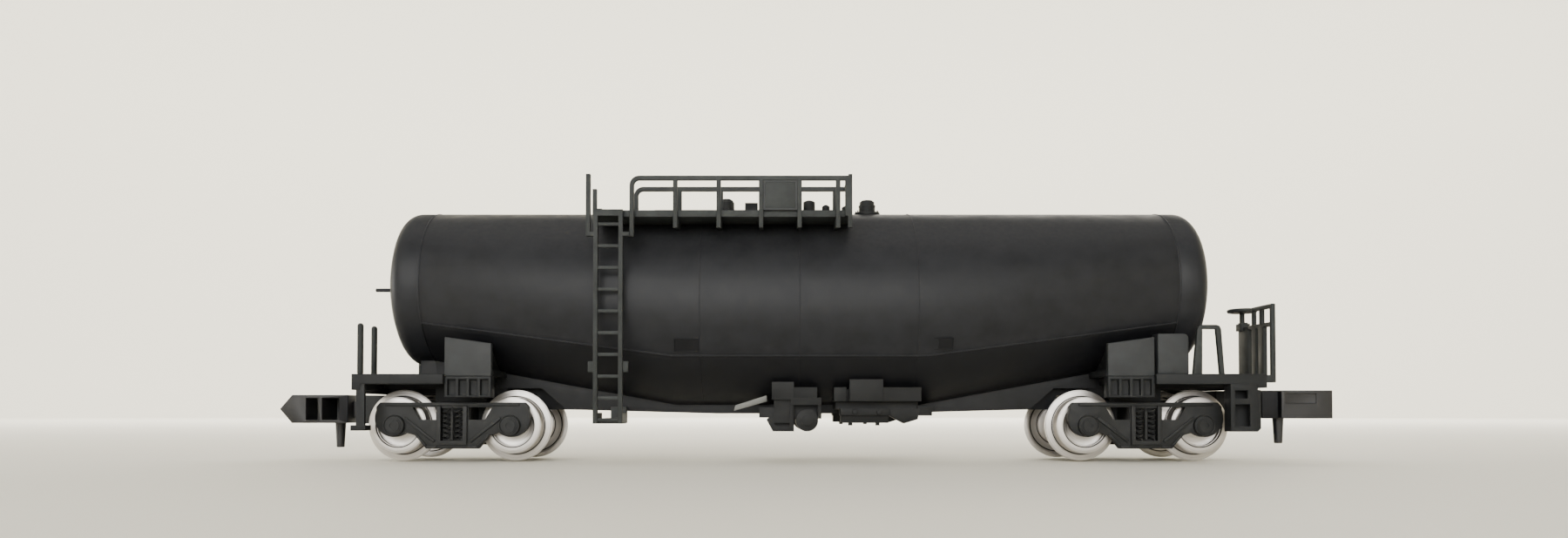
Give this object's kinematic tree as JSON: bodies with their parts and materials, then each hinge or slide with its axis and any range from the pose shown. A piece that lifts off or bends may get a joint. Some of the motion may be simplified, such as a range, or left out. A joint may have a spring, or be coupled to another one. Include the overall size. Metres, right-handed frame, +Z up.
{
  "type": "scale model railway tank car",
  "caption": "Scale model bogie railway tank car: fish-belly tank, walkways with railings, side ladders, end platforms, swivelling bogies with flanged wheels and swinging couplers.",
  "frame": {"origin": "centre of the car's outline on the surface it stands on, under the wheel flanges", "axes": "+X towards the hand-brake end, +Y towards the car's left side, +Z up"},
  "size_m": [0.105, 0.0208, 0.0268],
  "materials": {
    "tank_black": "satin black moulded plastic",
    "frame_grey": "satin dark grey moulded plastic",
    "bogie_grey": "satin dark grey moulded plastic, a little glossy on its edges",
    "plate_grey": "satin mid grey moulded plastic",
    "rail_grey": "satin mid grey moulded plastic",
    "coupler_grey": "dull dark grey tough plastic",
    "wheel_metal": "bright nickel-plated metal",
    "bare_steel": "dull bare steel"
  },
  "bodies": {
    "car_body": {"tank_shell": "tank_black", "tank_belly": "tank_black", "tank_head_front": "tank_black", "tank_head_rear": "tank_black", "ballast_weight": "bare_steel", "vent_dome": "frame_grey", "valve_box": "frame_grey", "manhole": "frame_grey", "gauge_pots": "frame_grey", "vent_stack": "frame_grey", "walkway_right": "rail_grey", "walkway_left": "rail_grey", "outer_railing_right": "rail_grey", "outer_railing_left": "rail_grey", "inner_railing_right": "rail_grey", "inner_railing_left": "rail_grey", "sign_board_right": "rail_grey", "sign_board_left": "rail_grey", "ladder_right": "rail_grey", "ladder_left": "rail_grey", "centre_sill": "frame_grey", "end_frame_front": "frame_grey", "end_frame_rear": "frame_grey", "saddle_plates_front": "plate_grey", "saddle_plates_rear": "plate_grey", "saddle_webs_front": "frame_grey", "saddle_webs_rear": "frame_grey", "bolster_blocks_front": "frame_grey", "bolster_blocks_rear": "frame_grey", "equipment_boxes": "plate_grey", "steps_front": "frame_grey", "steps_rear": "frame_grey", "stirrup_rails_front": "rail_grey", "posts_rear": "rail_grey", "end_railing_front": "rail_grey", "brake_wheel": "rail_grey", "brake_cylinder_gear": "frame_grey", "brake_valve_gear": "frame_grey", "release_levers": "bare_steel", "pivot_screw_front": "bare_steel", "pivot_screw_rear": "bare_steel"},
    "bogie_front": {"bogie_frame_front": "bogie_grey"},
    "bogie_rear": {"bogie_frame_rear": "bogie_grey"},
    "wheelset_1": {"wheels_1": "wheel_metal", "axle_1": "bare_steel"},
    "wheelset_2": {"wheels_2": "wheel_metal", "axle_2": "bare_steel"},
    "wheelset_3": {"wheels_3": "wheel_metal", "axle_3": "bare_steel"},
    "wheelset_4": {"wheels_4": "wheel_metal", "axle_4": "bare_steel"},
    "coupler_front": {"coupler_front": "coupler_grey"},
    "coupler_rear": {"coupler_rear": "coupler_grey"}
  },
  "joints": [
    {"name": "bogie_front_pivot", "type": "hinge", "parent": "car_body", "child": "bogie_front", "pos_m": [0.03215, 0, 0.006], "axis": [0, 0, 1], "range_deg": [-12, 12]},
    {"name": "bogie_rear_pivot", "type": "hinge", "parent": "car_body", "child": "bogie_rear", "pos_m": [-0.03395, 0, 0.006], "axis": [0, 0, 1], "range_deg": [-12, 12]},
    {"name": "wheelset_1_spin", "type": "hinge", "parent": "bogie_front", "child": "wheelset_1", "pos_m": [0.03765, 0, 0.00355], "axis": [0, 1, 0], "continuous": true},
    {"name": "wheelset_2_spin", "type": "hinge", "parent": "bogie_front", "child": "wheelset_2", "pos_m": [0.02665, 0, 0.00355], "axis": [0, 1, 0], "continuous": true},
    {"name": "wheelset_3_spin", "type": "hinge", "parent": "bogie_rear", "child": "wheelset_3", "pos_m": [-0.02845, 0, 0.00355], "axis": [0, 1, 0], "continuous": true},
    {"name": "wheelset_4_spin", "type": "hinge", "parent": "bogie_rear", "child": "wheelset_4", "pos_m": [-0.03945, 0, 0.00355], "axis": [0, 1, 0], "continuous": true},
    {"name": "coupler_front_swing", "type": "hinge", "parent": "bogie_front", "child": "coupler_front", "pos_m": [0.0426, 0, 0.00555], "axis": [0, 0, 1], "range_deg": [-10, 10]},
    {"name": "coupler_rear_swing", "type": "hinge", "parent": "bogie_rear", "child": "coupler_rear", "pos_m": [-0.0426, 0, 0.0051], "axis": [0, 0, 1], "range_deg": [-10, 10]}
  ]
}
